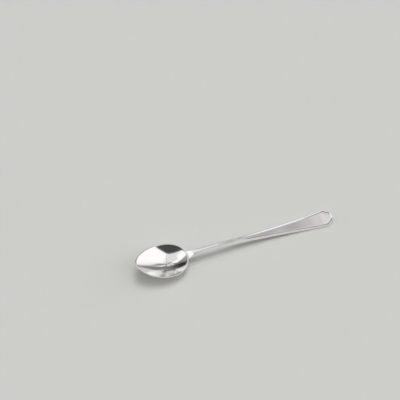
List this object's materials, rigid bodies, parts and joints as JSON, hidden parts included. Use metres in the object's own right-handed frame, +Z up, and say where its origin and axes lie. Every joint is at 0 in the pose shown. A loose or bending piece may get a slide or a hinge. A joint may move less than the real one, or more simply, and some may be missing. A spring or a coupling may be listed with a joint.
{
  "type": "baby spoon",
  "caption": "Baby spoon with a deep egg-shaped bowl, soldered to a slim arched stem that widens into a flat handle with a raised thread border and cut corners at its end.",
  "frame": {"origin": "on the table under the middle of the spoon's box, with the spoon resting bowl up", "axes": "+X from the tip of the bowl to the end of the handle, +Y across the spoon, +Z up"},
  "size_m": [0.14, 0.025, 0.0143],
  "materials": {
    "polished_silver": "mirror polished silver",
    "silver_solder": "polished silver solder"
  },
  "bodies": {
    "root": {"bowl": "polished_silver", "handle": "polished_silver", "solder_seam": "silver_solder"}
  },
  "joints": []
}
